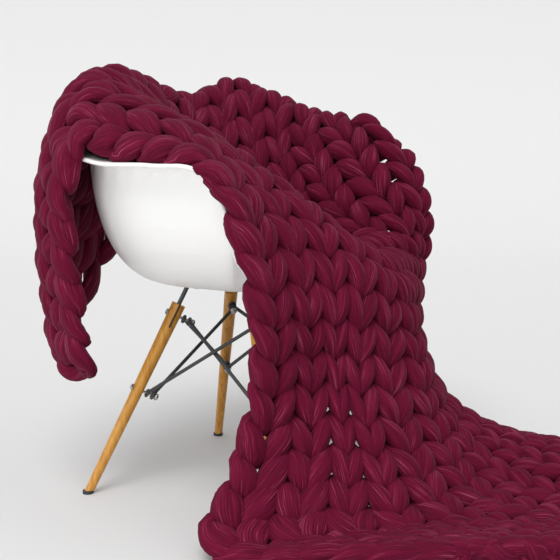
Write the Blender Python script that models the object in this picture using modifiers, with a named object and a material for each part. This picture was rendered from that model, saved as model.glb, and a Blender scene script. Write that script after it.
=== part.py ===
"""A chunky knit throw draped over a plain moulded shell armchair on wooden dowel legs.

Units are metres, +Z is up and the floor is z = 0.  The sitter faces -Y.  "Near" is the -X side,
whose arm shows its white outside, and "far" is the +X side, which the throw covers.
"""
from math import cos, pi, radians, sin

import bmesh
import bpy
import numpy as np
from mathutils import Matrix, Vector
from mathutils.bvhtree import BVHTree

# ---- shell -----------------------------------------------------------------------------------
SHELL_THICK = 0.005
SEAT_TOP = 0.406            # upper face of the flat part of the seat
FLAT_PART = 0.44            # share of the way from the seat's middle to the rim that is flat
WALL_POWER = 0.85           # below 1 squares the wall's section, 1 is a quarter of an ellipse
FLANGE = 0.045              # outward turn of the rim
FLANGE_DROP = 0.005
SEAT_MIDDLE = (0.0, 0.0)
RIM_STEPS = 52
WALL_STEPS = 7
# the rim of the +X half, from the middle of the front lip to the middle of the back
RIM = (
    # name,            x,      y,      z
    ("lip middle",     0.000, -0.243, 0.416),
    ("lip corner",     0.165, -0.190, 0.414),
    ("arm foot",       0.250, -0.152, 0.480),
    ("arm front",      0.298, -0.146, 0.588),
    ("arm top front",  0.311, -0.112, 0.638),
    ("arm middle",     0.319, -0.020, 0.647),
    ("arm top rear",   0.311,  0.105, 0.648),
    ("shoulder",       0.262,  0.212, 0.672),
    ("back corner",    0.180,  0.260, 0.710),
    ("back middle",    0.000,  0.283, 0.755),
)

# ---- legs, brackets, bolts and braces --------------------------------------------------------
LEG_SPREAD = (0.228, 0.210)     # where the middle of a foot stands, either side of the centre
LEG_TOP_SHARE = 0.41            # the leg's top stands at this share of the spread
LEG_TOP_Z = 0.360
LEG_TOP_RADIUS = 0.0135
LEG_FOOT_RADIUS = 0.0085
GLIDE_HEIGHT = 0.006
GLIDE_RADIUS = 0.0105
SLOT_DEPTH = 0.048
STRIP_THICK = 0.004
STRIP_WIDTH = 0.018
STRIP_REACH = 0.050             # length of the bracket along the underside of the seat
BOLT_RADIUS = 0.003
BOLT_HEAD = 0.0062
BOLT_HEAD_THICK = 0.004
BOLT_TAIL = 0.030               # how far a bolt stands out of the leg's inner side
BOLT_SHARES = (0.055, 0.450)    # down the leg, from its top
BORE_TURN = Matrix.Rotation(radians(8), 4, "Z")     # keeps a bore's edges off the leg's own edges
ROD_RADIUS = 0.0036
ROD_SEATS = (0.0085, 0.0200)    # along a bolt from the leg's side, for the two braces it holds
FIT = 0.0003                    # gap between pieces that touch

# ---- throw -----------------------------------------------------------------------------------
COLUMNS = 11                    # knitted columns from the near edge to the far edge
HALF_THICK = 0.027
RIB = 0.003                     # how far a column's crown stands above the grooves beside it
POINTS_PER_COLUMN = 2
ROW_STEPS = 72
EDGE_ROUND = 0.014              # how far the rounded edge stands out past the last column
CLEAR_OF_SHELL = 0.008
SETTLE_ROUNDS = 30
SEAT_REACH = 0.106              # the cloth may lie on the seat as far as this from its middle
SEAT_SAG = 0.014                # where its underside comes as near as this, it lies on the seat
LEAST_GAP = 0.002
LIFT_ROUNDS = 30
LIFT_STEP = 0.002
GUIDE_COLUMNS = (0, 2, 4, 5.5, 7, 9, 10, 11)
FALL_STATION = 9                # the "fall" in DRAPE
# share of the throw's rows between the end behind the chair and the fall, for each of them
FALL_SHARES = (.546, .536, .523, .516, .510, .510, .510, .510)
# The middle of the cloth, along eight of its columns.  Each row crosses the throw from the near
# edge to the far edge, and the rows run from the end behind the chair to the end on the floor.
DRAPE = (
    # column 0, 2, 4 and 5.5, then column 7, 9, 10 and 11, each x, y, z
    ("end behind",
     (-.300, .137, .258), (-.205, .280, .270), (-.030, .325, .410), (.100, .335, .500),
     (.290, .290, .560), (.405, .080, .420), (.425, -.005, .400), (.435, -.090, .340)),
    ("hanging",
     (-.334, .100, .430), (-.222, .290, .460), (-.035, .330, .565), (.110, .335, .600),
     (.305, .280, .625), (.400, .070, .520), (.420, -.010, .505), (.430, -.090, .460)),
    ("outside the rim",
     (-.348, .082, .600), (-.222, .270, .641), (-.035, .332, .700), (.125, .325, .690),
     (.312, .265, .690), (.380, .050, .630), (.397, -.020, .612), (.405, -.085, .580)),
    ("over the rim",
     (-.318, .080, .676), (-.194, .238, .740), (-.020, .285, .795), (.130, .275, .760),
     (.272, .203, .764), (.322, .015, .710), (.337, -.050, .702), (.346, -.110, .688)),
    ("inside the rim",
     (-.278, .030, .656), (-.215, .120, .712), (-.095, .170, .735), (.075, .185, .670),
     (.205, .115, .660), (.255, -.035, .625), (.305, -.115, .690), (.335, -.190, .645)),
    ("hollow",
     (-.268, -.050, .651), (-.205, .010, .672), (-.115, .050, .675), (.030, .070, .545),
     (.145, .030, .500), (.210, -.085, .530), (.290, -.178, .622), (.339, -.229, .565)),
    ("seat",
     (-.276, -.122, .634), (-.200, -.085, .618), (-.100, -.085, .605), (.010, -.070, .472),
     (.088, -.055, .411), (.200, -.150, .480), (.272, -.208, .548), (.338, -.236, .495)),
    ("lip",
     (-.290, -.172, .560), (-.185, -.175, .535), (-.090, -.200, .540), (.010, -.195, .470),
     (.120, -.195, .458), (.220, -.215, .465), (.270, -.228, .470), (.330, -.230, .430)),
    ("past the lip",
     (-.285, -.197, .440), (-.165, -.236, .430), (-.080, -.288, .450), (.015, -.292, .435),
     (.120, -.275, .420), (.235, -.245, .390), (.285, -.232, .385), (.325, -.207, .360)),
    ("fall",
     (-.280, -.195, .280), (-.140, -.250, .290), (-.075, -.310, .300), (.034, -.338, .290),
     (.130, -.295, .285), (.240, -.255, .270), (.290, -.225, .265), (.330, -.190, .255)),
    ("foot",
     (-.310, -.175, .128), (-.180, -.290, .150), (-.112, -.356, .160), (.020, -.382, .165),
     (.140, -.355, .165), (.260, -.305, .140), (.320, -.260, .130), (.370, -.200, .120)),
    ("bend",
     (-.385, -.175, .026), (-.262, -.340, .034), (-.140, -.450, .044), (-.005, -.475, .060),
     (.140, -.450, .104), (.270, -.400, .085), (.340, -.345, .062), (.400, -.280, .036)),
    ("train",
     (-.320, -.420, .026), (-.200, -.515, .026), (-.080, -.620, .028), (.005, -.640, .040),
     (.130, -.630, .088), (.250, -.600, .074), (.315, -.555, .050), (.370, -.490, .026)),
    ("end on the floor",
     (-.150, -.720, .026), (-.030, -.850, .026), (.090, -.945, .026), (.125, -.970, .030),
     (.200, -.965, .048), (.280, -.945, .042), (.320, -.920, .034), (.350, -.885, .026)),
)


def empty_scene():
    for thing in list(bpy.data.objects):
        bpy.data.objects.remove(thing, do_unlink=True)
    for group in list(bpy.data.collections):
        bpy.data.collections.remove(group)


def make_collection(name):
    group = bpy.data.collections.new(name)
    bpy.context.scene.collection.children.link(group)
    return group


def make_material(name, colour, roughness, metallic=0.0):
    material = bpy.data.materials.new(name)
    material.use_nodes = True
    shader = material.node_tree.nodes["Principled BSDF"]
    shader.inputs["Base Color"].default_value = (*colour, 1.0)
    shader.inputs["Roughness"].default_value = roughness
    shader.inputs["Metallic"].default_value = metallic
    return material


def add_object(name, data, group, material=None):
    thing = bpy.data.objects.new(name, data)
    group.objects.link(thing)
    if material:
        data.materials.append(material)
    return thing


def smooth_curve(knots, values, where):
    """Values read from a smooth curve that passes through every knot."""
    knots = np.asarray(knots, float)
    values = np.asarray(values, float)
    step = np.diff(knots).reshape((-1,) + (1,) * (values.ndim - 1))
    slope = np.diff(values, axis=0) / step
    tangent = np.empty_like(values)
    tangent[1:-1] = (slope[:-1] * step[1:] + slope[1:] * step[:-1]) / (step[:-1] + step[1:])
    tangent[0] = 1.5 * slope[0] - 0.5 * tangent[1]
    tangent[-1] = 1.5 * slope[-1] - 0.5 * tangent[-2]
    span = np.clip(np.searchsorted(knots, where, side="right") - 1, 0, len(knots) - 2)
    width = step[span]
    part = (np.asarray(where, float) - knots[span]).reshape(width.shape) / width
    start = (2 * part**3 - 3 * part**2 + 1) * values[span]
    start_pull = (part**3 - 2 * part**2 + part) * width * tangent[span]
    end = (3 * part**2 - 2 * part**3) * values[span + 1]
    end_pull = (part**3 - part**2) * width * tangent[span + 1]
    return start + start_pull + end + end_pull


def running_length(line, power=1.0):
    steps = np.linalg.norm(np.diff(line, axis=0), axis=1) ** power
    return np.concatenate(([0.0], np.cumsum(steps)))


def rim_points(count):
    """The closed rim, evenly spaced from the middle of the lip and back to it."""
    half = np.array([row[1:] for row in RIM])
    mirrored = half[-2::-1] * (-1, 1, 1)
    whole = np.concatenate((half, mirrored))
    wrapped = np.concatenate((whole[-4:-1], whole, whole[1:4]))
    knots = running_length(wrapped)
    fine = smooth_curve(knots, wrapped, np.linspace(knots[3], knots[-4], 12 * count))
    length = running_length(fine)
    even = np.linspace(0, length[-1], count, endpoint=False)
    return np.stack([np.interp(even, length, fine[:, axis]) for axis in range(3)], axis=1)


def wall_ring(rim, turn):
    """One ring of the shell's upper face: turn runs from 0 at the flat seat to 1 at the rim."""
    out = FLAT_PART + (1 - FLAT_PART) * sin(turn * pi / 2) ** WALL_POWER
    up = 1 - cos(turn * pi / 2) ** WALL_POWER
    middle = np.array((*SEAT_MIDDLE, SEAT_TOP))
    inset = (rim - middle) * (1, 1, 0)
    inset *= 1 - FLANGE / np.linalg.norm(inset, axis=1, keepdims=True)
    ring = middle + inset * out
    ring[:, 2] = SEAT_TOP + (rim[:, 2] - SEAT_TOP) * up
    return ring


def make_shell(group, material):
    """An open bucket, flat under the sitter, with its rim turned outwards, then thickened."""
    rim = rim_points(RIM_STEPS)
    middle = np.array((*SEAT_MIDDLE, SEAT_TOP))
    flat = wall_ring(rim, 0.0)
    rings = [middle + (flat - middle) * 0.5]
    rings += [wall_ring(rim, step / WALL_STEPS) for step in range(WALL_STEPS + 1)]
    rings.append(rim - (0, 0, FLANGE_DROP))
    mesh = bpy.data.meshes.new("chair_shell")
    shape = bmesh.new()
    centre = shape.verts.new(middle)
    rows = [[shape.verts.new(point) for point in ring] for ring in rings]
    for k in range(RIM_STEPS):
        following = (k + 1) % RIM_STEPS
        shape.faces.new((centre, rows[0][k], rows[0][following]))
        for inner, outer in zip(rows, rows[1:]):
            shape.faces.new((inner[k], outer[k], outer[following], inner[following]))
    shape.to_mesh(mesh)
    shape.free()
    mesh.shade_smooth()
    shell = add_object("chair_shell", mesh, group, material)
    solid = shell.modifiers.new("wall", "SOLIDIFY")
    solid.thickness = SHELL_THICK
    solid.offset = -1
    return shell


def leg_frame(side_x, side_y):
    """The leg's own axes: origin at its top, +Z up the leg, +X away from the chair's centre."""
    foot = Vector((side_x * LEG_SPREAD[0], side_y * LEG_SPREAD[1], 0.0))
    top = Vector((foot.x * LEG_TOP_SHARE, foot.y * LEG_TOP_SHARE, LEG_TOP_Z))
    up = (top - foot).normalized()
    across = Vector((0, 0, 1)).cross(foot).normalized()
    outward = across.cross(up)
    frame = Matrix((outward, across, up)).transposed().to_4x4()
    frame.translation = top
    return frame, (top - foot).length


def leg_radius(share):
    return LEG_TOP_RADIUS + (LEG_FOOT_RADIUS - LEG_TOP_RADIUS) * share


def make_cutter(name, mesh, frame, group):
    cutter = add_object(name, mesh, group)
    cutter.matrix_world = frame
    cutter.display_type = "WIRE"
    cutter.hide_render = True
    return cutter


def cylinder_mesh(name, radius, length, sides):
    """A closed cylinder along Z, centred on the origin."""
    mesh = bpy.data.meshes.new(name)
    shape = bmesh.new()
    bmesh.ops.create_cone(shape, cap_ends=True, segments=sides, radius1=radius, radius2=radius,
                          depth=length)
    shape.to_mesh(mesh)
    shape.free()
    return mesh


def box_mesh(name, size, middle):
    mesh = bpy.data.meshes.new(name)
    shape = bmesh.new()
    bmesh.ops.create_cube(shape, size=1.0)
    bmesh.ops.scale(shape, vec=size, verts=shape.verts)
    bmesh.ops.translate(shape, vec=middle, verts=shape.verts)
    shape.to_mesh(mesh)
    shape.free()
    return mesh


def cut(thing, cutter):
    modifier = thing.modifiers.new(cutter.name, "BOOLEAN")
    modifier.operation = "DIFFERENCE"
    modifier.solver = "EXACT"
    modifier.object = cutter


def make_leg(name, frame, length, group, material):
    """A tapered round leg, sawn level where it meets its glide."""
    mesh = bpy.data.meshes.new(name)
    shape = bmesh.new()
    extra = 0.02
    bmesh.ops.create_cone(shape, cap_ends=True, segments=24,
                          radius1=leg_radius(1 + extra / length), radius2=LEG_TOP_RADIUS,
                          depth=length + extra)
    bmesh.ops.translate(shape, vec=(0, 0, -(length + extra) / 2), verts=shape.verts)
    bmesh.ops.transform(shape, matrix=frame, verts=shape.verts)
    everything = shape.verts[:] + shape.edges[:] + shape.faces[:]
    sawn = bmesh.ops.bisect_plane(shape, geom=everything, plane_co=(0, 0, GLIDE_HEIGHT + FIT),
                                  plane_no=(0, 0, -1), clear_outer=True)
    loop = [part for part in sawn["geom_cut"] if isinstance(part, bmesh.types.BMEdge)]
    bmesh.ops.edgeloop_fill(shape, edges=loop)
    bmesh.ops.recalc_face_normals(shape, faces=shape.faces)
    shape.to_mesh(mesh)
    shape.free()
    mesh.shade_smooth()
    mesh.set_sharp_from_angle(angle=radians(40))
    return add_object(name, mesh, group, material)


def make_glide(name, frame, length, group, material):
    foot = frame @ Vector((0, 0, -length))
    glide = add_object(name, cylinder_mesh(name, GLIDE_RADIUS, GLIDE_HEIGHT, 20), group, material)
    glide.location = (foot.x, foot.y, GLIDE_HEIGHT / 2)
    return glide


def bolt_frame(frame, length, share):
    """A bolt's axes: origin on the leg's axis, +Z out of the leg towards the chair's centre."""
    spot = frame @ Matrix.Translation((0, 0, -length * share))
    return spot @ Matrix.Rotation(-pi / 2, 4, "Y")


def make_bolt(name, frame, share, group, material):
    """A round-headed bolt through the leg, turned from its half profile."""
    radius = leg_radius(share)
    head = -radius - FIT
    profile = ((0, BOLT_TAIL + radius), (BOLT_RADIUS, BOLT_TAIL + radius), (BOLT_RADIUS, head),
               (BOLT_HEAD, head), (BOLT_HEAD, head - BOLT_HEAD_THICK * 0.5),
               (BOLT_HEAD * 0.7, head - BOLT_HEAD_THICK), (0, head - BOLT_HEAD_THICK))
    mesh = bpy.data.meshes.new(name)
    edges = [(k, k + 1) for k in range(len(profile) - 1)]
    mesh.from_pydata([(x, 0, z) for x, z in profile], edges, [])
    bolt = add_object(name, mesh, group, material)
    turned = bolt.modifiers.new("turned", "SCREW")
    turned.axis = "Z"
    turned.steps = 12
    turned.render_steps = 12
    turned.use_merge_vertices = True
    turned.merge_threshold = 0.0001
    bolt.matrix_world = frame
    return bolt


def make_bracket(name, frame, group, material):
    """A bent flat strip: one limb lies under the seat, the other goes down into the leg's slot."""
    under = SEAT_TOP - SHELL_THICK - FIT - STRIP_THICK / 2
    top = frame.translation
    down = frame.to_3x3() @ Vector((0, 0, -1))
    reach = Vector((top.x, top.y)).length
    slope = Vector((down.x, down.y)).length / -down.z
    bend = (reach - (under - top.z) * slope, under)
    depth = SLOT_DEPTH - 0.001
    tip = (reach + depth * slope * -down.z, top.z + depth * down.z)
    path = [Vector((bend[0] - STRIP_REACH, under)), Vector(bend), Vector(tip)]
    first = (path[1] - path[0]).normalized().orthogonal()
    second = (path[2] - path[1]).normalized().orthogonal()
    mitre = (first + second) / (1 + first.dot(second))
    half = STRIP_THICK / 2
    sides = (path[0] + first * half, path[1] + mitre * half, path[2] + second * half,
             path[2] - second * half, path[1] - mitre * half, path[0] - first * half)
    curve = bpy.data.curves.new(name, "CURVE")
    curve.dimensions = "2D"
    curve.fill_mode = "BOTH"
    curve.extrude = STRIP_WIDTH / 2
    line = curve.splines.new("POLY")
    line.points.add(len(sides) - 1)
    for point, (along, height) in zip(line.points, sides):
        point.co = (along, height, 0, 1)
    line.use_cyclic_u = True
    outward = Vector((top.x, top.y, 0)).normalized()
    upward = Vector((0, 0, 1))
    place = Matrix((outward, upward, outward.cross(upward))).transposed().to_4x4()
    return curve_to_mesh(name, curve, place, group, material)


def curve_to_mesh(name, curve, place, group, material):
    """A closed mesh object from a curve whose caps are loose."""
    guide = add_object(name + "_outline", curve, group)
    guide.matrix_world = place
    bpy.context.view_layer.update()
    evaluated = guide.evaluated_get(bpy.context.evaluated_depsgraph_get())
    mesh = bpy.data.meshes.new_from_object(evaluated)
    bpy.data.objects.remove(guide, do_unlink=True)
    shape = bmesh.new()
    shape.from_mesh(mesh)
    bmesh.ops.remove_doubles(shape, verts=shape.verts, dist=0.00001)
    bmesh.ops.recalc_face_normals(shape, faces=shape.faces)
    shape.to_mesh(mesh)
    shape.free()
    thing = add_object(name, mesh, group, material)
    thing.matrix_world = place
    return thing


def make_shell_bolt(name, frame, group, material):
    """The domed head that holds a bracket to the seat, just under the bracket."""
    outward = Vector((frame.translation.x, frame.translation.y, 0)).normalized()
    reach = Vector((frame.translation.x, frame.translation.y)).length - STRIP_REACH * 0.75
    under = SEAT_TOP - SHELL_THICK - 2 * FIT - STRIP_THICK - BOLT_HEAD_THICK
    bolt = add_object(name, cylinder_mesh(name, BOLT_HEAD, 2 * BOLT_HEAD_THICK, 12), group, material)
    bolt.location = outward * reach + Vector((0, 0, under))
    return bolt


def rod_trim(along, bolt_axis):
    """How far short of a bolt's axis a brace stops, so that its end just clears the bolt."""
    slant = abs(along.dot(bolt_axis))
    return (BOLT_RADIUS + FIT + ROD_RADIUS * slant) / (1 - slant * slant) ** 0.5


def make_rod(name, start, end, group, material):
    """A straight round brace between two bolts; start and end are frames on the bolts' axes."""
    span = end.translation - start.translation
    along = span.normalized()
    ends = [start.translation + along * rod_trim(along, start.col[2].to_3d()),
            end.translation - along * rod_trim(along, end.col[2].to_3d())]
    curve = bpy.data.curves.new(name, "CURVE")
    curve.dimensions = "3D"
    curve.bevel_depth = ROD_RADIUS
    curve.bevel_resolution = 3
    curve.use_fill_caps = True
    line = curve.splines.new("POLY")
    line.points.add(1)
    for point, place in zip(line.points, ends):
        point.co = (*place, 1)
    return add_object(name, curve, group, material)


def drape_lines(columns):
    """The middle of the cloth along each given column, as a fine line from end to end."""
    table = np.array([row[1:] for row in DRAPE])
    stations = smooth_curve(GUIDE_COLUMNS, table.swapaxes(0, 1), columns)
    lines = []
    for line in stations:
        knots = running_length(line, 0.7)
        spread = np.linspace(0, len(knots) - 1, 12 * (len(knots) - 1) + 1)
        lines.append(smooth_curve(knots, line, np.interp(spread, range(len(knots)), knots)))
    return lines


def drape_grid(columns, rows):
    """Points on the middle of the cloth, in rows that lie level across the fall."""
    grid = []
    for line, share in zip(drape_lines(columns), smooth_curve(GUIDE_COLUMNS, FALL_SHARES, columns)):
        length = running_length(line)
        fall = length[12 * FALL_STATION]
        even = smooth_curve((0, share, 1), (0, fall, length[-1]), np.linspace(0, 1, rows))
        grid.append(np.stack([np.interp(even, length, line[:, k]) for k in range(3)], axis=1))
    return np.array(grid)


def grid_normals(grid):
    """Unit normals, out of the face that is knitted to be seen."""
    across = np.gradient(grid, axis=0)
    along = np.gradient(grid, axis=1)
    normal = np.cross(along, across)
    return normal / np.linalg.norm(normal, axis=2, keepdims=True)


def push_clear(grid, tree, least):
    """How far each point has to move, straight away from the shell's wall, to be clear of it."""
    push = np.zeros_like(grid)
    for index in np.ndindex(grid.shape[:2]):
        point = Vector(grid[index])
        nearest, _, _, distance = tree.find_nearest(point)
        if distance < least and nearest.z > SEAT_TOP + FIT:
            push[index] = (point - nearest).normalized() * (least - distance)
    return push


def spread_out(moves):
    """Shares each point's move with the points next to it, along its column and across."""
    for _ in range(2):
        padded = np.concatenate((moves[:1], moves, moves[-1:]))
        moves = ((padded[:-2] + padded[2:]) / 2 + moves) / 2
        moves = moves.swapaxes(0, 1)
    return moves


def settle(grid, tree, least):
    """Moves the cloth clear of the shell, softly, so that it keeps its smooth shape."""
    moves = np.zeros_like(grid)
    for _ in range(SETTLE_ROUNDS):
        moves = spread_out(moves + push_clear(grid + moves, tree, least))
    grid += moves
    grid += push_clear(grid, tree, least)


def rest_on(points):
    """Keeps the underside on the floor, and on the flat of the seat where it lies there."""
    points[:, 2] = np.maximum(points[:, 2], 0.0)
    reach = np.linalg.norm(points[:, :2] - SEAT_MIDDLE, axis=1)
    above = points[:, 2] - SEAT_TOP
    seated = (reach < SEAT_REACH) & (above > -HALF_THICK) & (above < SEAT_SAG)
    points[seated, 2] = SEAT_TOP + FIT


def throw_rings(grid, columns):
    """A ring of near edge, face, far edge and back for each row, round the middle of the cloth."""
    normal = grid_normals(grid)
    crown = RIB * (0.5 - np.cos(2 * pi * columns) / 2)[:, None, None] - RIB / 2
    face = grid + normal * (HALF_THICK + crown)
    back = grid - normal * (HALF_THICK + crown)
    near_edge = grid[:1] + unit(grid[:1] - grid[1:2]) * EDGE_ROUND
    far_edge = grid[-1:] + unit(grid[-1:] - grid[-2:-1]) * EDGE_ROUND
    rings = np.concatenate((near_edge, face, far_edge, back[::-1])).swapaxes(0, 1)
    for ring in rings:
        rest_on(ring)
    return rings


def lift_clear(grid, columns, tree):
    """Lifts the cloth, where a face of it would touch the shell off the seat, until none does."""
    wide, rows = grid.shape[:2]
    around = 2 * wide + 2
    quads = [(row * around + k, row * around + (k + 1) % around,
              (row + 1) * around + (k + 1) % around, (row + 1) * around + k)
             for row in range(rows - 1) for k in range(around)]
    for _ in range(LIFT_ROUNDS):
        points = throw_rings(grid, columns).reshape(-1, 3).tolist()
        touching = {face for face, _ in BVHTree.FromPolygons(points, quads).overlap(tree)}
        lift = np.zeros((wide, rows))
        for face in touching:
            if any(points[point][2] == SEAT_TOP + FIT for point in quads[face]):
                continue
            for point in quads[face]:
                row, k = divmod(point, around)
                column = min(k - 1, around - 1 - k) if k else 0
                lift[min(column, wide - 1), row] = LIFT_STEP
        if not lift.any():
            break
        for index in zip(*np.nonzero(lift)):
            nearest = tree.find_nearest(Vector(grid[index]))[0]
            grid[index] += np.array((Vector(grid[index]) - nearest).normalized()) * lift[index]


def make_throw(shell, group, material):
    """The cloth as one closed loft, row after row."""
    columns = np.linspace(0, COLUMNS, COLUMNS * POINTS_PER_COLUMN + 1)
    grid = drape_grid(columns, ROW_STEPS)
    exact = bpy.context.evaluated_depsgraph_get()
    settle(grid, BVHTree.FromObject(shell, exact), HALF_THICK + RIB / 2 + CLEAR_OF_SHELL)
    lift_clear(grid, columns, BVHTree.FromObject(shell, exact, epsilon=LEAST_GAP))
    mesh = bpy.data.meshes.new("blanket")
    shape = bmesh.new()
    rows = [[shape.verts.new(point) for point in ring] for ring in throw_rings(grid, columns)]
    around = len(rows[0])
    for this, following in zip(rows, rows[1:]):
        for k in range(around):
            after = (k + 1) % around
            shape.faces.new((this[k], this[after], following[after], following[k]))
    close_end(shape, rows[0], True)
    close_end(shape, rows[-1], False)
    bmesh.ops.recalc_face_normals(shape, faces=shape.faces)
    shape.to_mesh(mesh)
    shape.free()
    mesh.shade_smooth()
    return add_object("blanket", mesh, group, material)


def unit(vectors):
    return vectors / np.linalg.norm(vectors, axis=-1, keepdims=True)


def close_end(shape, ring, first):
    """Closes an end of the loft with a strip of faces from its face side to its back side."""
    face = ring[1:len(ring) // 2]
    back = ring[:len(ring) // 2:-1]
    middle = len(face)
    shape.faces.new((ring[0], face[0], back[0]) if first else (ring[0], back[0], face[0]))
    for k in range(middle - 1):
        quad = (face[k], face[k + 1], back[k + 1], back[k])
        shape.faces.new(quad if first else quad[::-1])
    tip = ring[len(ring) // 2]
    last = (face[-1], tip, back[-1])
    shape.faces.new(last if first else last[::-1])


def centre_on_floor(widest, *groups):
    """Puts the origin under the middle of the whole, whose box is that of its widest piece."""
    points = np.array([vertex.co[:] for vertex in widest.data.vertices])
    middle = (points.min(axis=0) + points.max(axis=0)) / 2
    origin = bpy.data.objects.new("throw_on_chair", None)
    origin.location = (-middle[0], -middle[1], 0.0)
    groups[0].objects.link(origin)
    for group in groups:
        for thing in group.objects:
            if thing is not origin:
                thing.parent = origin


def build():
    empty_scene()
    parts = make_collection("knit_throw_on_shell_chair")
    cutters = make_collection("cutters")
    plastic = make_material("white moulded plastic", (0.86, 0.87, 0.87), 0.35)
    wood = make_material("golden beech", (0.62, 0.33, 0.07), 0.5)
    steel = make_material("dark painted steel", (0.06, 0.06, 0.065), 0.45, 0.6)
    zinc = make_material("bright bolt steel", (0.5, 0.5, 0.5), 0.35, 0.9)
    rubber = make_material("dark grey glide", (0.05, 0.05, 0.05), 0.7)
    wool = make_material("burgundy wool roving", (0.17, 0.017, 0.047), 0.9)

    shell = make_shell(parts, plastic)
    corners = {"near_rear": (-1, 1), "far_rear": (1, 1), "far_front": (1, -1), "near_front": (-1, -1)}
    seats = {}
    for corner, sides in corners.items():
        frame, length = leg_frame(*sides)
        leg = make_leg("leg_" + corner, frame, length, parts, wood)
        make_glide("glide_" + corner, frame, length, parts, rubber)
        bracket = make_bracket("bracket_" + corner, frame, parts, steel)
        make_shell_bolt("seat_bolt_" + corner, frame, parts, zinc)
        slot_size = (STRIP_THICK + 2 * FIT, 4 * LEG_TOP_RADIUS, 2 * SLOT_DEPTH)
        cut(leg, make_cutter("slot_" + corner, box_mesh("slot", slot_size, (0, 0, 0)), frame, cutters))
        for level, share in zip(("upper", "lower"), BOLT_SHARES):
            place = bolt_frame(frame, length, share)
            make_bolt(f"bolt_{level}_{corner}", place, share, parts, zinc)
            bore = cylinder_mesh("bore", BOLT_RADIUS + FIT, 6 * LEG_TOP_RADIUS, 16)
            drill = make_cutter(f"bore_{level}_{corner}", bore, place @ BORE_TURN, cutters)
            cut(leg, drill)
            if level == "upper":
                cut(bracket, drill)
            for turn, seat in enumerate(ROD_SEATS):
                along_bolt = Matrix.Translation((0, 0, leg_radius(share) + seat))
                seats[corner, level, turn] = place @ along_bolt
    names = list(corners)
    for k, corner in enumerate(names):
        neighbour = names[(k + 1) % len(names)]
        make_rod(f"brace_down_{corner}", seats[corner, "upper", 0], seats[neighbour, "lower", 0],
                 parts, steel)
        make_rod(f"brace_up_{corner}", seats[corner, "lower", 1], seats[neighbour, "upper", 1],
                 parts, steel)
    bpy.context.view_layer.update()
    blanket = make_throw(shell, parts, wool)
    centre_on_floor(blanket, parts, cutters)


build()
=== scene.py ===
"""A throw knitted from very thick burgundy roving, over a white shell armchair on dowel legs."""
from math import cos, pi, radians, sin

import bpy
import numpy as np
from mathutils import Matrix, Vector
from mathutils.bvhtree import BVHTree


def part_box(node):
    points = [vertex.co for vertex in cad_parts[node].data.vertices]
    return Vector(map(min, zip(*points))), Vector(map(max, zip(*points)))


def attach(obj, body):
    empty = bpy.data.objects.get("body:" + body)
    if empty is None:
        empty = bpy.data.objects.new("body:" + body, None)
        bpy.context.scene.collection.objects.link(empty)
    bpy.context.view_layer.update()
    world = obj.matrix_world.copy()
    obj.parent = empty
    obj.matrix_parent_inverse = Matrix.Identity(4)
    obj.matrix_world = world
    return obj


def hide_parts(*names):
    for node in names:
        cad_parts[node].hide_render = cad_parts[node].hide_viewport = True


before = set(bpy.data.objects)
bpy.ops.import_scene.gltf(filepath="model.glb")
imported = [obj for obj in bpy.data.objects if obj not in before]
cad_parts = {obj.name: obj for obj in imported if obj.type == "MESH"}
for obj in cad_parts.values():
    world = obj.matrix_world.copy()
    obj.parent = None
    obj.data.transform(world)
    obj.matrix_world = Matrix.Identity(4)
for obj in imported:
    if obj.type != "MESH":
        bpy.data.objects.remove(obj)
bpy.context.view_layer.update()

CORNERS = ("near_rear", "far_rear", "far_front", "near_front")
glide_boxes = [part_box("glide_" + corner) for corner in CORNERS]
# the point on the floor in the middle of the four feet
CHAIR = np.array([np.mean([[low[k], high[k]] for low, high in glide_boxes]) for k in (0, 1)]
                 + [0.0])

# ---- how the throw lies, in metres from CHAIR ---------------------------------------------------
COLUMNS = 13                    # knitted columns from the near edge to the far edge
NEAREST_MIDDLE = 0.004          # how near the throw's middle comes to the shell
SQUASHED_GAP = 0.0015           # between the shell and the yarn that is squashed against it
SQUASH_REACH = 0.06             # yarn farther than this from the shell is left round
YARN_TOP = 0.012                # the yarn is squashed as seen from this high off the throw's middle
FLOOR_GAP = 0.0005              # between the floor and the yarn
SETTLE_ROUNDS = 30
SEAT_TOP = 0.406                # the flat of the seat; the throw is pushed clear of all above it
FIT = 0.0003                    # a point of the shell is above the flat from so much on
GRID = (27, 64)                 # points across and along the throw that settle on the shell
GUIDE_COLUMNS = (0, 2, 4, 5.5, 7.6, 10.4, 11.7, 13)
FALL_STATION = 9                # the "fall" in DRAPE
STATION_STEPS = 12              # points between two rows of DRAPE
STATION_POWER = 0.7             # under 1, it keeps a curve between far stations from swinging out
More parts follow.
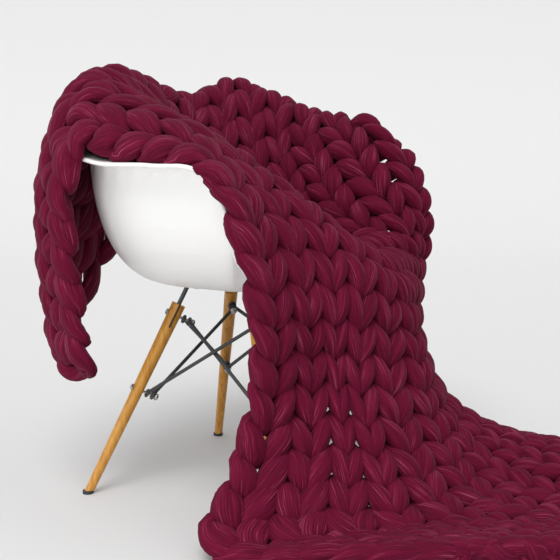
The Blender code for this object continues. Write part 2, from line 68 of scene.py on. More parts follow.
# share of the throw's rows from the end behind the chair to the fall, for each guide column
FALL_SHARES = (.546, .536, .523, .516, .510, .510, .510, .510)
DRAPE = (
    # the first four guide columns, then the last four, each x, y, z
    ("end behind",
     (-.300, .137, .258), (-.205, .280, .270), (-.040, .325, .415), (.100, .335, .535),
     (.290, .290, .560), (.405, .080, .420), (.425, -.005, .400), (.435, -.090, .340)),
    ("hanging",
     (-.312, .160, .430), (-.222, .290, .460), (-.035, .330, .565), (.110, .335, .600),
     (.305, .280, .625), (.400, .070, .520), (.420, -.010, .505), (.430, -.090, .460)),
    ("outside the rim",
     (-.322, .160, .600), (-.226, .272, .641), (-.035, .332, .700), (.125, .325, .690),
     (.312, .265, .690), (.380, .050, .630), (.385, -.020, .604), (.393, -.085, .572)),
    ("over the rim",
     (-.300, .135, .674), (-.192, .236, .754), (-.020, .285, .788), (.165, .262, .738),
     (.272, .203, .771), (.318, .015, .704), (.323, -.050, .689), (.326, -.108, .665)),
    ("inside the rim",
     (-.300, .040, .649), (-.215, .120, .728), (-.095, .170, .735), (.075, .185, .670),
     (.205, .115, .660), (.255, -.035, .625), (.305, -.115, .690), (.318, -.186, .622)),
    ("hollow",
     (-.301, -.044, .647), (-.205, .010, .694), (-.115, .050, .675), (.030, .070, .545),
     (.145, .030, .500), (.210, -.085, .530), (.290, -.178, .622), (.326, -.222, .560)),
    ("seat",
     (-.300, -.114, .630), (-.200, -.085, .638), (-.100, -.085, .605), (.010, -.070, .472),
     (.088, -.055, .411), (.200, -.150, .480), (.272, -.208, .548), (.338, -.236, .495)),
    ("lip",
     (-.308, -.163, .572), (-.185, -.175, .548), (-.090, -.200, .540), (.010, -.195, .470),
     (.120, -.195, .458), (.220, -.215, .465), (.270, -.228, .470), (.330, -.230, .430)),
    ("past the lip",
     (-.286, -.195, .440), (-.165, -.236, .430), (-.080, -.288, .450), (.015, -.292, .435),
     (.120, -.275, .420), (.235, -.245, .390), (.285, -.232, .385), (.325, -.207, .360)),
    ("fall",
     (-.273, -.197, .280), (-.140, -.250, .290), (-.075, -.310, .300), (.034, -.338, .290),
     (.130, -.295, .285), (.240, -.255, .270), (.290, -.225, .265), (.330, -.190, .255)),
    ("foot",
     (-.311, -.176, .128), (-.180, -.290, .150), (-.112, -.356, .160), (.020, -.382, .165),
     (.140, -.355, .165), (.260, -.305, .140), (.320, -.260, .130), (.370, -.200, .120)),
    ("bend",
     (-.385, -.175, .026), (-.262, -.340, .034), (-.140, -.450, .044), (-.005, -.475, .060),
     (.140, -.450, .104), (.270, -.400, .085), (.340, -.345, .062), (.400, -.280, .036)),
    ("train",
     (-.296, -.448, .026), (-.200, -.515, .026), (-.080, -.620, .028), (.005, -.640, .040),
     (.130, -.630, .088), (.250, -.600, .074), (.315, -.555, .050), (.370, -.490, .026)),
    ("end on the floor",
     (-.045, -.730, .026), (-.030, -.850, .026), (.090, -.945, .026), (.125, -.970, .030),
     (.200, -.965, .048), (.280, -.945, .042), (.320, -.920, .034), (.350, -.885, .026)),
)

# how a row's columns share its width
WIDTHS = (
    # row, even: 0 is as the guide columns say, 1 is all the same,
    # gathered: 1 is the hollow's columns drawn together and the near slope's spread out
    (-1, 0.35, 0.0),
    (5, 0.50, 0.0),
    (7, 0.60, 0.4),
    (9, 0.65, 1.0),
    (12, 0.60, 1.0),
    (14, 0.25, 0.7),
    (16, 0.00, 0.2),
    (18, 0.00, 0.0),
    (22, 0.00, 0.0),
    (25, 0.35, 0.0),
    (35, 0.45, 0.0),
)
GATHER_FROM = (0, 3, 6.5, 13)   # columns, and where gathering puts them
GATHER_TO = (0, 4.5, 6.7, 13)

# ---- the yarn and its stitch --------------------------------------------------------------------
ROWS = 33
END_ROOM = (0.35, 1.45)         # rows' worth of throw before the first row and after the last
KNIT_PIECES = 4                 # the knit is made in as many pieces, each of some rows
SIDES = 18                      # points in a ring round the yarn
STEPS = 3                       # rings between two named points of a stitch
KNIT_SEED = 11
EDGING_SEED = 5
# Half of one stitch, from the loop that it shares with the stitch beside it to its own head.
# Across is in columns from the stitch's near side, along is in rows towards the floor, and out is
# metres off the middle of the cloth.  Half width and half depth are of the yarn itself.
STITCH = (
    # name,         across, along,   out,  half width, half depth
    ("sinker",       0.000,  1.24, -0.0140, 0.0165, 0.0120),
    ("foot",         0.440,  1.18, -0.0050, 0.0110, 0.0105),
    ("low leg",      0.385,  0.86,  0.0080, 0.0165, 0.0145),
    ("leg",          0.275,  0.50,  0.0125, 0.0205, 0.0165),
    ("high leg",     0.165,  0.14,  0.0080, 0.0175, 0.0150),
    ("shoulder",     0.105, -0.15, -0.0040, 0.0125, 0.0110),
    ("head",         0.500, -0.26, -0.0140, 0.0165, 0.0120),
)
HEAD = len(STITCH) - 1
NEAR_LEG = slice(1, HEAD)       # in a whole stitch, the points from the sinker up to the head
FAR_LEG = slice(HEAD + 1, None)
# How a row's first and last points differ from the table, at the throw's edges
EDGE_POINTS = (
    # columns in, along,   out,  half width, half depth
    (0.08,         0.95, -0.006, 0.0160,     0.0145),
    (0.12,         0.62, -0.002, 0.0165,     0.0155),
)
LOOSE_COLUMN = 0.072            # a column this wide leaves the yarn its full width
SQUEEZE = (0.48, 1.45)          # the yarn's width as a share of its full one, least and most
EDGE_SHIFT = 0.08               # how far the throw's outermost legs lie out towards its edges
UNEVEN = 0.07                   # how much stitches differ in thickness, as a share
UNEVEN_ACROSS = 0.03            # how far their legs stray, in columns
UNEVEN_ALONG = 0.04             # and their points, in rows
FURROWS = ((0.030, 2), (0.018, 5))  # depth as a share of the yarn's, and how many go round it
FURROW_STEP = 0.05              # metres of yarn over which the furrows drift round it
FURROW_DRIFT = 0.5              # by so much at most, in radians

# ---- the closing edges: one more yarn wound through the last loops ------------------------------
EDGING_ROWS = {"edging_behind": -0.30, "edging_floor": ROWS + 0.35}
EDGING_INSIDE = 0.1             # columns from the throw's corners to the edging's ends
EDGING_STEPS = 24               # rings in a column
EDGING_SWAY = 0.12              # how far it swings along the throw, in rows
EDGING_RISE = 0.010             # and off the throw's middle, in metres
EDGING_HALF_WIDTH = 0.0165
EDGING_FLATNESS = 0.9           # its depth as a share of its width
EDGING_TAPER = 0.3              # columns over which its ends round off
EDGING_TIP = 0.05               # least share of its thickness, at its ends

# ---- the chair's small parts --------------------------------------------------------------------
# the shell's rim on the far side, from the middle of the front lip to the middle of the back
RIM = (
    # name,            x,      y,      z
    ("lip middle",     0.000, -0.243, 0.416),
    ("lip corner",     0.165, -0.190, 0.414),
    ("arm foot",       0.250, -0.152, 0.480),
    ("arm front",      0.298, -0.146, 0.588),
    ("arm top front",  0.311, -0.112, 0.638),
    ("arm middle",     0.319, -0.020, 0.647),
    ("arm top rear",   0.311,  0.105, 0.648),
    ("shoulder",       0.262,  0.212, 0.672),
    ("back corner",    0.180,  0.260, 0.710),
    ("back middle",    0.000,  0.283, 0.755),
)
BEAD_STEPS = 241
BEAD_SIDES = 12
BEAD_WRAP = 3                   # points of RIM that the closed curve runs on past its ends
BEAD_DROP = 0.0072              # from the rim's upper edge down to the bead's middle
BEAD_RADIUS = 0.0040
EYES = (0.0215, 0.0100)         # from a bolt's inner tip back to the braces that it holds
EYE_RADIUS = 0.0062
EYE_HALF = 0.0026               # half the thickness of the rod round an eye
EYE_STEPS = 13
# a nut's outline: reach back from the bolt's tip, and radius
NUT = ((-0.0012, 0.0015), (-0.0012, 0.0052), (0.0004, 0.0068), (0.0050, 0.0068), (0.0055, 0.0060),
       (0.0055, 0.0030))
SHELL_WELD = 0.0001             # corners of the shell's faces nearer than this are joined
SHELL_SMOOTHING = 2             # rounds of smoothing that take the facets off the shell

# ---- the photograph's view ----------------------------------------------------------------------
AZIMUTH, PITCH = -59.7, 8.9     # in degrees
CAMERA = (-1.926, -1.210, 0.757)    # in metres from CHAIR


# ---- vectors and curves -------------------------------------------------------------------------
def unit(vectors):
    return vectors / np.linalg.norm(vectors, axis=-1, keepdims=True)


def smooth_curve(knots, values, where):
    """Values read from a smooth curve that passes through every knot."""
    knots = np.asarray(knots, float)
    values = np.asarray(values, float)
    step = np.diff(knots).reshape((-1,) + (1,) * (values.ndim - 1))
    slope = np.diff(values, axis=0) / step
    tangent = np.empty_like(values)
    tangent[1:-1] = (slope[:-1] * step[1:] + slope[1:] * step[:-1]) / (step[:-1] + step[1:])
    tangent[0] = 1.5 * slope[0] - 0.5 * tangent[1]
    tangent[-1] = 1.5 * slope[-1] - 0.5 * tangent[-2]
    span = np.clip(np.searchsorted(knots, where, side="right") - 1, 0, len(knots) - 2)
    width = step[span]
    part = (np.asarray(where, float) - knots[span]).reshape(width.shape) / width
    start = (2 * part**3 - 3 * part**2 + 1) * values[span]
    start_pull = (part**3 - 2 * part**2 + part) * width * tangent[span]
    end = (3 * part**2 - 2 * part**3) * values[span + 1]
    end_pull = (part**3 - part**2) * width * tangent[span + 1]
    return start + start_pull + end + end_pull


def running_length(line, power=1.0):
    """How far along a line each of its points lies, with each step raised to the power."""
    steps = np.linalg.norm(np.diff(line, axis=0), axis=1) ** power
    return np.concatenate(([0.0], np.cumsum(steps)))


# ---- the throw's surface ------------------------------------------------------------------------
def drape_grid(columns, rows):
    """Points on the middle of the cloth, in rows that lie level across the fall."""
    table = np.array([row[1:] for row in DRAPE])
    stations = smooth_curve(GUIDE_COLUMNS, table.swapaxes(0, 1), columns)
    shares = smooth_curve(GUIDE_COLUMNS, FALL_SHARES, columns)
    grid = []
    for station, share in zip(stations, shares):
        knots = running_length(station, STATION_POWER)
        spread = np.linspace(0, len(knots) - 1, STATION_STEPS * (len(knots) - 1) + 1)
        line = smooth_curve(knots, station, np.interp(spread, range(len(knots)), knots))
        length = running_length(line)
        fall = length[STATION_STEPS * FALL_STATION]
        even = smooth_curve((0, share, 1), (0, fall, length[-1]), np.linspace(0, 1, rows))
        grid.append(np.stack([np.interp(even, length, line[:, k]) for k in range(3)], axis=1))
    return np.array(grid)


def push_clear(grid, tree, least):
    """How far each point has to move, straight away from the shell's wall, to be clear of it."""
    push = np.zeros_like(grid)
    for index in np.ndindex(grid.shape[:2]):
        point = Vector(grid[index])
        nearest, _, _, distance = tree.find_nearest(point)
        if distance < least and nearest.z > SEAT_TOP + FIT:
            push[index] = (point - nearest).normalized() * (least - distance)
    return push


def spread_out(moves):
    """Shares each point's move with the points next to it, along its column and across."""
    for _ in range(2):
        padded = np.concatenate((moves[:1], moves, moves[-1:]))
        moves = ((padded[:-2] + padded[2:]) / 2 + moves) / 2
        moves = moves.swapaxes(0, 1)
    return moves


def shell_tree():
    """The shell's faces, for finding what comes too near them."""
    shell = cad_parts["chair_shell"].data
    corners = [Vector(vertex.co) - Vector(CHAIR) for vertex in shell.vertices]
    return BVHTree.FromPolygons(corners, [tuple(face.vertices) for face in shell.polygons])


def settled_grid(tree):
    """The throw's middle, clear of the shell."""
    grid = drape_grid(np.linspace(0, COLUMNS, GRID[0]), GRID[1])
    moves = np.zeros_like(grid)
    for _ in range(SETTLE_ROUNDS):
        moves = spread_out(moves + push_clear(grid + moves, tree, NEAREST_MIDDLE))
    return grid + moves


def evened(row, even, gathered):
    """A row of points moved along itself: evened out, and gathered in the hollow."""
    length = running_length(row)
    steps = np.linspace(0, 1, len(row))
    place = (1 - even) * steps + even * length / length[-1]
    spread = smooth_curve(GATHER_FROM, GATHER_TO, steps * COLUMNS) / COLUMNS
    steps = (1 - gathered) * steps + gathered * spread
    return np.stack([np.interp(steps, place, row[:, k]) for k in range(3)], axis=1)


class Cloth:
    """The throw's middle surface, read by column and by row."""
    FINE = 8                    # steps in a column and in a row

    def __init__(self):
        self.shell = shell_tree()
        grid = settled_grid(self.shell)
        self.rows = ROWS + sum(END_ROOM)
        across = np.linspace(0, COLUMNS, COLUMNS * self.FINE + 1)
        along = np.linspace(0, self.rows, round(self.rows * self.FINE) + 1)
        wide = smooth_curve(np.linspace(0, COLUMNS, GRID[0]), grid, across).swapaxes(0, 1)
        points = smooth_curve(np.linspace(0, self.rows, GRID[1]), wide, along)
        table = np.array(WIDTHS)
        widths = smooth_curve(table[:, 0], table[:, 1:], along - END_ROOM[0])
        self.points = np.array([evened(row, *width) for row, width in zip(points, widths)])
        by_row = np.gradient(self.points, axis=0)
        by_column = np.gradient(self.points, axis=1)
        self.normals = unit(np.cross(by_row, by_column))

    def at(self, column, row, out=None):
        """Points off the cloth's middle, and its normals, also straight on past its edges."""
        size = self.points.shape
        down = (np.asarray(row) + END_ROOM[0]) / self.rows * (size[0] - 1)
        over = np.asarray(column) / COLUMNS * (size[1] - 1)
        i = np.clip(down.astype(int), 0, size[0] - 2)
        j = np.clip(over.astype(int), 0, size[1] - 2)
        a = (down - i)[:, None]
        b = (over - j)[:, None]

        def blend(field):
            low = field[i, j] * (1 - b) + field[i, j + 1] * b
            high = field[i + 1, j] * (1 - b) + field[i + 1, j + 1] * b
            return low * (1 - a) + high * a

        normal = unit(blend(self.normals))
        place = blend(self.points)
        return place if out is None else place + normal * out[:, None], normal

    def column_width(self, column, row):
        """How wide a column is there, averaged over a column either side."""
        low = np.clip(column - 1, 0, COLUMNS)
        high = np.clip(column + 1, 0, COLUMNS)
        reach = self.at(high, row)[0] - self.at(low, row)[0]
        return np.linalg.norm(reach, axis=1) / (high - low)


# ---- meshes -------------------------------------------------------------------------------------
def make_piece(name, mesh, material):
    """A piece of the scene from a mesh whose points are in metres from CHAIR."""
    piece = bpy.data.objects.new(name, mesh)
    bpy.context.scene.collection.objects.link(piece)
    mesh.materials.append(material)
    piece.location = CHAIR
    return piece


def tube_mesh(name, rings, lengths):
    """A closed tube through rings of points, with its length in metres and its turn as UV."""
    count, sides = rings.shape[:2]
    around = np.arange(sides)
    after = (around + 1) % sides
    start = (np.arange(count - 1) * sides)[:, None]
    quads = np.stack((start + around, start + after, start + sides + after, start + sides + around),
                     axis=2).reshape(-1, 4)
    caps = [list(range(sides))[::-1], [(count - 1) * sides + k for k in range(sides)]]
    mesh = bpy.data.meshes.new(name)
    mesh.from_pydata(rings.reshape(-1, 3).tolist(), [], quads.tolist() + caps)
    turn = np.stack((around, around + 1, around + 1, around), axis=1) / sides
    turn = np.tile(turn, (count - 1, 1, 1)).reshape(-1)
    reach = np.stack((lengths[:-1], lengths[:-1], lengths[1:], lengths[1:]), axis=1)
    reach = np.repeat(reach, sides, axis=0).reshape(-1)
    pairs = np.zeros((len(turn) + 2 * sides, 2))
    pairs[:len(turn), 0] = turn
    pairs[:len(turn), 1] = reach
    mesh.uv_layers.new(name="yarn").data.foreach_set("uv", pairs.astype(np.float32).reshape(-1))
    mesh.shade_smooth()
    return mesh


# ---- the yarn -----------------------------------------------------------------------------------
def stitch_points(column, row, forwards, rng):
    """One stitch's named points: column, row, out, half width, half depth."""
    half = np.array([point[1:] for point in STITCH])
    right = half[-2:0:-1].copy()
    right[:, 0] = 1 - right[:, 0]
    points = np.concatenate((half, right))
    if column == 0:
        points[NEAR_LEG, 0] -= EDGE_SHIFT
    if column == COLUMNS - 1:
        points[FAR_LEG, 0] += EDGE_SHIFT
    points[:, 3:] *= 1 + UNEVEN * rng.uniform(-1, 1)
    points[NEAR_LEG, 0] += UNEVEN_ACROSS * rng.uniform(-1, 1)
    points[FAR_LEG, 0] += UNEVEN_ACROSS * rng.uniform(-1, 1)
    points[:, 1] += UNEVEN_ALONG * rng.uniform(-1, 1, len(points))
    points[:, 0] += column
    points[:, 1] += row
    if not forwards:
        points[1:] = points[:0:-1]
        points[0, 0] += 1
    return points


def edge_point(edge, row, shape):
    """Where a row starts or ends, a little inside the throw's edge."""
    inside, along, *rest = shape
    return (abs(edge - inside), row + along, *rest)


def yarn_points(rng):
    """The whole yarn, row after row from the end on the floor, turning at each edge."""
    rows = []
    for row in range(ROWS - 1, -1, -1):
        forwards = row % 2 == 1
        columns = range(COLUMNS) if forwards else range(COLUMNS - 1, -1, -1)
        line = np.concatenate([stitch_points(column, row, forwards, rng) for column in columns])
        start, end = (0, COLUMNS) if forwards else (COLUMNS, 0)
        line[0] = edge_point(start, row, EDGE_POINTS[0])
        rows.append(np.concatenate((line, [edge_point(end, row, EDGE_POINTS[1])])))
    return rows


def knit(cloth, material):
    """The stocking stitch, in a few pieces of some rows each."""
    rng = np.random.default_rng(KNIT_SEED)
    rows = yarn_points(rng)
    counts = np.cumsum([0] + [len(row) for row in rows])
    points = np.concatenate(rows)
    last_point = len(points) - 1
    where = np.arange(0, last_point + 1e-9, 1 / STEPS)
    fine = smooth_curve(np.arange(len(points)), points, where)
    place, normal = cloth.at(fine[:, 0], fine[:, 1], fine[:, 2])
    squeeze = np.clip(cloth.column_width(fine[:, 0], fine[:, 1]) / LOOSE_COLUMN, *SQUEEZE)
    rings, lengths = yarn_rings(place, normal, fine[:, 3] * squeeze, fine[:, 4], rng)
    tops = np.full(len(fine), YARN_TOP)
    squash(rings, cloth.at(fine[:, 0], fine[:, 1], tops)[0], cloth.shell)
    bands = np.linspace(0, ROWS, KNIT_PIECES + 1).astype(int)
    pieces = []
    for number, (first, last) in enumerate(zip(bands, bands[1:])):
        start = counts[first] * STEPS
        stop = min(counts[last] * STEPS + 1, len(rings))
        mesh = tube_mesh(f"knit_{number + 1}", rings[start:stop], lengths[start:stop])
        pieces.append(make_piece(mesh.name, mesh, material))
    return pieces


def yarn_rings(place, normal, wide, deep, rng):
    """Rings round the yarn, flattened to the cloth, with the soft furrows of loose roving."""
    along = unit(np.gradient(place, axis=0))
    side = unit(np.cross(along, normal))
    up = np.cross(side, along)
    turn = np.linspace(0, 2 * pi, SIDES, endpoint=False) - pi / 2
    lengths = running_length(place)
    knots = np.arange(0, lengths[-1] + 2 * FURROW_STEP, FURROW_STEP)
    strays = rng.uniform(-FURROW_DRIFT, FURROW_DRIFT, (len(knots), len(FURROWS)))
    drifts = smooth_curve(knots, np.cumsum(strays, axis=0), lengths)
    furrow = sum(share * np.sin(count * turn + drift[:, None])
                 for (share, count), drift in zip(FURROWS, drifts.T))
    across = np.cos(turn) * (1 + furrow) * wide[:, None]
    high = np.sin(turn) * (1 + furrow) * deep[:, None]
    rings = place[:, None] + across[..., None] * side[:, None] + high[..., None] * up[:, None]
    rings[..., 2] = np.maximum(rings[..., 2], FLOOR_GAP)
    return rings, lengths


def squash(rings, tops, shell):
    """Flattens the yarn where it would go through the shell, as seen from above it."""
    for ring, top in zip(rings, tops):
        start = Vector(top)
        if shell.find_nearest(start, SQUASH_REACH)[0] is None:
            continue
        for k, point in enumerate(ring):
            ray = Vector(point) - start
            far = ray.length
            hit = shell.ray_cast(start, ray, far + SQUASHED_GAP)
            if hit[0] is not None:
                ring[k] = top + np.array(ray) / far * max(hit[3] - SQUASHED_GAP, 0.0)


def edging(name, cloth, row, material, rng):
    """The closing edge at an end of the throw: a yarn that winds once round in each column."""
    first, last = EDGING_INSIDE, COLUMNS - EDGING_INSIDE
    column = np.linspace(first, last, COLUMNS * EDGING_STEPS)
    phase = 2 * pi * column
    along = row + EDGING_SWAY * np.sin(phase)
    place, normal = cloth.at(column, along, EDGING_RISE * np.cos(phase))
    ends = np.clip(np.minimum(column - first, last - column) / EDGING_TAPER, 0, 1) ** 0.5
    thick = EDGING_HALF_WIDTH * np.maximum(ends, EDGING_TIP)
    rings, lengths = yarn_rings(place, normal, thick, thick * EDGING_FLATNESS, rng)
    return make_piece(name, tube_mesh(name, rings, lengths), material)


# ---- small parts of the chair -------------------------------------------------------------------
def rim_bead(material):
    """The round bead that stiffens the moulded shell's rim."""
    half = np.array([row[1:] for row in RIM])
    whole = np.concatenate((half, half[-2::-1] * (-1, 1, 1)))
    wrapped = np.concatenate((whole[-1 - BEAD_WRAP:-1], whole, whole[1:1 + BEAD_WRAP]))
    knots = running_length(wrapped)
    where = np.linspace(knots[BEAD_WRAP], knots[-1 - BEAD_WRAP], BEAD_STEPS)
    line = smooth_curve(knots, wrapped, where)
    line[:, 2] -= BEAD_DROP
    along = unit(np.gradient(line, axis=0))
    side = unit(np.cross(along, (0.0, 0.0, 1.0)))
    up = np.cross(side, along)
    turn = np.linspace(0, 2 * pi, BEAD_SIDES, endpoint=False)[:, None, None]
    rings = line + BEAD_RADIUS * (np.cos(turn) * side + np.sin(turn) * up)
    mesh = tube_mesh("rim_bead", rings.swapaxes(0, 1), running_length(line))
    return make_piece(mesh.name, mesh, material)


def turned_rings(profile, start, along, sides=24):
    """Rings turned round an axis: the profile gives reach along the axis and radius."""
    side = unit(np.cross(along, (0.0, 0.0, 1.0)))
    up = np.cross(side, along)
    turn = np.linspace(0, 2 * pi, sides, endpoint=False)
    around = np.cos(turn)[:, None] * side + np.sin(turn)[:, None] * up
    return np.array([start + along * reach + around * radius for reach, radius in profile])


def bolt_axis(bolt):
    """A bolt's inner tip, and its direction from the head to that tip."""
    points = np.array([bolt.matrix_world @ vertex.co for vertex in bolt.data.vertices]) - CHAIR
    middle = points.mean(axis=0)
    along = np.linalg.svd(points - middle)[2][0]
    if along @ (middle * (1, 1, 0)) > 0:
        along = -along
    tip = max((points - middle) @ along)
    return middle + along * tip, along


def bolt_trim(bolt, steel, zinc):
    """The two eyes of flattened rod that sit on a bolt, and the nut on its end."""
    tip, along = bolt_axis(bolt)
    name = bolt.name.removeprefix("bolt_")
    turn = np.linspace(0, 2 * pi, EYE_STEPS)
    eye = np.stack((EYE_HALF * np.cos(turn), EYE_RADIUS + EYE_HALF * np.sin(turn)), axis=1)
    pieces = []
    for number, back in enumerate(EYES):
        rings = turned_rings(eye, tip - along * back, along)
        mesh = tube_mesh(f"eye_{name}_{number + 1}", rings, running_length(eye))
        pieces.append(make_piece(mesh.name, mesh, steel))
    nut = [(-reach, radius) for reach, radius in NUT]
    mesh = tube_mesh("nut_" + name, turned_rings(nut, tip, along), running_length(np.array(nut)))
    pieces.append(make_piece(mesh.name, mesh, zinc))
    return pieces


# ---- materials ----------------------------------------------------------------------------------
def linear(code):
    """A linear colour from an sRGB hex code."""
    parts = [int(code[k:k + 2], 16) / 255 for k in (1, 3, 5)]
    return (*[part / 12.92 if part <= 0.04045 else ((part + 0.055) / 1.055) ** 2.4
              for part in parts], 1.0)


def add_node(tree, kind, values=(), links=(), **settings):
    """Adds a shader node: settings are its own, values and links go to its sockets by name."""
    made = tree.nodes.new(kind)
    for name, value in settings.items():
        setattr(made, name, value)
    for socket, value in dict(values).items():
        made.inputs[socket].default_value = value
    for socket, source in dict(links).items():
        tree.links.new(source, made.inputs[socket])
    return made


def noise(tree, place, scale, **values):
    """Soft noise with so many cells in a unit of its coordinates."""
    return add_node(tree, "ShaderNodeTexNoise", {"Scale": scale, **values}, {"Vector": place})


def ramp(tree, factor, *stops):
    """Colours by the factor, from stops of a place between 0 and 1 and an sRGB hex code."""
    made = add_node(tree, "ShaderNodeValToRGB", links={"Fac": factor})
    for _ in stops[2:]:
        made.color_ramp.elements.new(1.0)
    for element, (place, code) in zip(made.color_ramp.elements, stops):
        element.position = place
        element.color = linear(code)
    return made.outputs["Color"]


def roughen(tree, shader, height, strength, depth):
    """Raises the surface's look by a pattern, over a depth in metres."""
    made = add_node(tree, "ShaderNodeBump", {"Strength": strength, "Distance": depth},
                    {"Height": height})
    tree.links.new(made.outputs["Normal"], shader.inputs["Normal"])


def new_material(name, roughness, metallic=0.0):
    """A material, its node tree and its main shader."""
    material = bpy.data.materials.new(name)
    material.use_nodes = True
    tree = material.node_tree
    shader = tree.nodes["Principled BSDF"]
    shader.inputs["Roughness"].default_value = roughness
    shader.inputs["Metallic"].default_value = metallic
    return material, tree, shader


def wool_roving():
    """Unspun merino roving: fine lengthwise fibres, matt, with a soft sheen along its outline."""
    material, tree, shader = new_material("merino roving, dyed burgundy", 0.75)
    turn = 0.105                # metres round the yarn
    strand = 0.0008             # width of a fibre bundle, drawn coarser than a fibre to show
    reach = 1 / 14              # metres of yarn over which a bundle shows
    broad = 9                   # broad lighter and darker streaks round the yarn, and in a metre
    uv = add_node(tree, "ShaderNodeUVMap", uv_map="yarn").outputs[0]
    fine_place = add_node(tree, "ShaderNodeMapping", {"Scale": (turn / strand, 1 / reach, 1)},
                          {"Vector": uv}).outputs[0]
    fine = noise(tree, fine_place, 1.0, Detail=3.0, Roughness=0.6).outputs["Fac"]
    broad_place = add_node(tree, "ShaderNodeMapping", {"Scale": (broad, broad, 1)},
                           {"Vector": uv}).outputs[0]
    wide = noise(tree, broad_place, 1.0, Detail=2.0).outputs["Fac"]
    streaks = add_node(tree, "ShaderNodeMath", {1: 0.75}, {0: fine},
                       operation="MULTIPLY").outputs[0]
    streaks = add_node(tree, "ShaderNodeMath", {1: 0.25}, {0: wide, 2: streaks},
                       operation="MULTIPLY_ADD").outputs[0]
    # darker and lighter fibre streaks along the yarn, partly the roving's own uneven tone; the
    # lightest stop, #BC6886, is a painted highlight that stands in for the fibres' sheen
    colour = ramp(tree, streaks, (0.32, "#340415"), (0.58, "#700E32"), (0.72, "#BC6886"))
    tree.links.new(colour, shader.inputs["Base Color"])
    roughen(tree, shader, streaks, 0.6, 0.0012)
    shader.inputs["Sheen Weight"].default_value = 0.08
    shader.inputs["Sheen Roughness"].default_value = 0.45
    shader.inputs["Sheen Tint"].default_value = linear("#E0A0B8")
    shader.inputs["Specular IOR Level"].default_value = 0.08
    return material


def moulded_plastic():
    """White polypropylene from a satin mould: a faint even texture and soft highlights."""
    material, tree, shader = new_material("moulded polypropylene, white", 0.42)
    shader.inputs["Base Color"].default_value = linear("#F4F4F3")
    place = add_node(tree, "ShaderNodeTexCoord").outputs["Object"]
    grit = 0.0008               # the mould's spark-eroded grain, in metres
    grain = noise(tree, place, 1 / grit, Detail=2.0).outputs["Fac"]
    roughen(tree, shader, grain, 0.15, 0.00008)
    return material


def beech():
    """Turned beech under golden satin lacquer: fine grain along the leg and short dark flecks."""
    material, tree, shader = new_material("beech, golden lacquer", 0.38)
    place = add_node(tree, "ShaderNodeTexCoord").outputs["Object"]
    across, along = 1 / 160, 1 / 12     # a grain line's width and length in metres
    stretched = add_node(tree, "ShaderNodeMapping", {"Scale": (1 / across, 1 / across, 1 / along)},
                         {"Vector": place}).outputs[0]
    grain = noise(tree, stretched, 1.0, Detail=4.0, Distortion=0.3).outputs["Fac"]
    colour = ramp(tree, grain, (0.30, "#B87A26"), (0.70, "#DBA045"))
    tree.links.new(colour, shader.inputs["Base Color"])
    roughen(tree, shader, grain, 0.2, 0.0002)
    return material


def painted_steel():
    """Steel rod and strip under dark grey powder coat: a fine orange-peel surface."""
    material, tree, shader = new_material("steel, dark grey powder coat", 0.5)
    shader.inputs["Base Color"].default_value = linear("#3C3E40")
    place = add_node(tree, "ShaderNodeTexCoord").outputs["Object"]
    dimple = 1 / 700            # width of the coat's dimples in metres
    peel = noise(tree, place, 1 / dimple, Detail=1.0).outputs["Fac"]
    roughen(tree, shader, peel, 0.2, 0.0001)
    return material


def zinc_plate():
    """Zinc-plated bolts: bright grey with a faint cloudiness."""
    material, tree, shader = new_material("zinc-plated steel", 0.3, 1.0)
    place = add_node(tree, "ShaderNodeTexCoord").outputs["Object"]
    patch = 1 / 400             # width of a cloudy patch in metres
    cloud = noise(tree, place, 1 / patch).outputs["Fac"]
    colour = ramp(tree, cloud, (0.0, "#9A9A98"), (1.0, "#D6D6D2"))
    tree.links.new(colour, shader.inputs["Base Color"])
    return material


def foot_plastic():
    """Dark polyethylene foot glides, dull and slightly mottled by wear."""
    material, tree, shader = new_material("polyethylene, dark grey", 0.6)
    place = add_node(tree, "ShaderNodeTexCoord").outputs["Object"]
    patch = 1 / 250             # width of a worn patch in metres
    wear = noise(tree, place, 1 / patch).outputs["Fac"]
    colour = ramp(tree, wear, (0.0, "#242628"), (1.0, "#3A3C3E"))
    tree.links.new(colour, shader.inputs["Base Color"])
    return material


# ---- stage --------------------------------------------------------------------------------------
def make_floor():
    """A plain sweep: level under the chair, then curving up into the wall behind it."""
    front, level, bend, height, wide = -6.0, 3.0, 2.5, 7.0, 9.0
    steps = 24
    profile = [(front, 0.0)]
    for k in range(steps + 1):
        turn = pi / 2 * k / steps
        profile.append((level + bend * sin(turn), bend * (1 - cos(turn))))
    profile.append((level + bend, height))
    azimuth = radians(AZIMUTH)
    ahead = np.array((-sin(azimuth), cos(azimuth), 0))
    side = np.array((ahead[1], -ahead[0], 0))
    rows = [CHAIR + ahead * reach + np.array((0, 0, z)) for reach, z in profile]
    points = [row + side * offset for row in rows for offset in (-wide, wide)]
    faces = [(2 * k, 2 * k + 1, 2 * k + 3, 2 * k + 2) for k in range(len(rows) - 1)]
    mesh = bpy.data.meshes.new("floor")
    mesh.from_pydata(points, [], faces)
    mesh.shade_smooth()
    floor = bpy.data.objects.new("floor", mesh)
    bpy.context.scene.collection.objects.link(floor)
    material, _, shader = new_material("pale studio paper", 0.8)
    shader.inputs["Base Color"].default_value = linear("#DDDDDD")
    mesh.materials.append(material)


def add_light(light, place, towards, energy):
    """Places a light, in metres from CHAIR, and turns it to shine in a direction."""
    light.energy = energy
    lamp = bpy.data.objects.new(light.name, light)
    lamp.location = Vector(CHAIR) + Vector(place)
    lamp.rotation_euler = Vector(towards).to_track_quat("-Z", "Y").to_euler()
    bpy.context.scene.collection.objects.link(lamp)


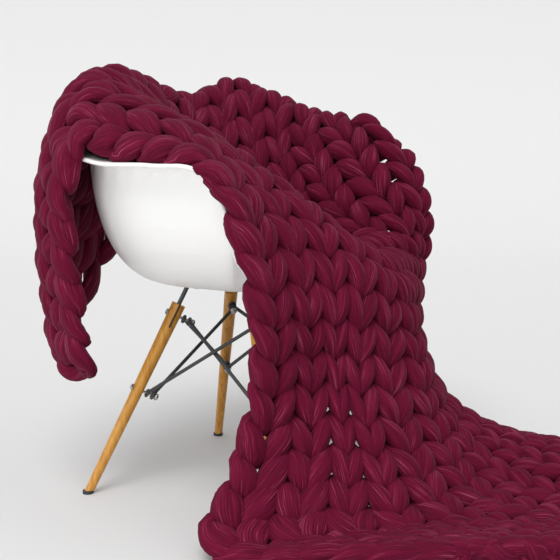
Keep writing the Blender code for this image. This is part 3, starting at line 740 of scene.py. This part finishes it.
def make_studio():
    """Soft even daylight, a large light from above and a weaker one on the bare side."""
    world = bpy.data.worlds.new("studio")
    world.use_nodes = True
    back = world.node_tree.nodes["Background"]
    back.inputs["Color"].default_value = linear("#FFFFFF")
    back.inputs["Strength"].default_value = 0.71
    bpy.context.scene.world = world
    bpy.context.scene.view_settings.view_transform = "Standard"
    above = bpy.data.lights.new("soft light from above", "SUN")
    above.angle = radians(35)
    add_light(above, place=(0, 0, 3), towards=(0.52, 0.14, -0.86), energy=1.45)
    beside = bpy.data.lights.new("softbox on the near side", "AREA")
    beside.size = 1.4
    add_light(beside, place=(-2.3, 0.15, 0.35), towards=(1, -0.05, 0.05), energy=13)


def make_camera():
    """The photograph's view: a long lens, a little above the armrests, from the near front."""
    camera = bpy.data.cameras.new("camera")
    camera.lens = 75.9
    camera.sensor_width = 36
    camera.clip_start = 0.05
    eye = bpy.data.objects.new("camera", camera)
    azimuth, pitch = radians(AZIMUTH), radians(PITCH)
    ahead = Vector((-sin(azimuth) * cos(pitch), cos(azimuth) * cos(pitch), -sin(pitch)))
    eye.location = Vector(CHAIR) + Vector(CAMERA)
    eye.rotation_euler = ahead.to_track_quat("-Z", "Y").to_euler()
    bpy.context.scene.collection.objects.link(eye)
    bpy.context.scene.camera = eye


# ---- putting it together ------------------------------------------------------------------------
def dress(prefix, material):
    """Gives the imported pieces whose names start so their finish."""
    for name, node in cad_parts.items():
        if name.startswith(prefix):
            node.data.materials.clear()
            node.data.materials.append(material)


def main():
    make_camera()
    make_studio()
    make_floor()
    cloth = Cloth()
    wool = wool_roving()
    rng = np.random.default_rng(EDGING_SEED)
    pieces = knit(cloth, wool)
    for name, row in EDGING_ROWS.items():
        pieces.append(edging(name, cloth, row, wool, rng))
    for piece in pieces:
        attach(piece, "root")
        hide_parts("blanket")
    plastic = moulded_plastic()
    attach(rim_bead(plastic), "root")
    dress("chair_shell", plastic)
    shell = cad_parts["chair_shell"]
    shell.modifiers.new("joined", "WELD").merge_threshold = SHELL_WELD
    soft = shell.modifiers.new("smooth", "SUBSURF")
    soft.levels = soft.render_levels = SHELL_SMOOTHING
    dress("leg_", beech())
    steel = painted_steel()
    dress("bracket_", steel)
    dress("brace_", steel)
    zinc = zinc_plate()
    for name in [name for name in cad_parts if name.startswith("bolt_")]:
        for piece in bolt_trim(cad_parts[name], steel, zinc):
            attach(piece, "root")
    dress("bolt_", zinc)
    dress("seat_bolt_", zinc)
    dress("glide_", foot_plastic())


main()
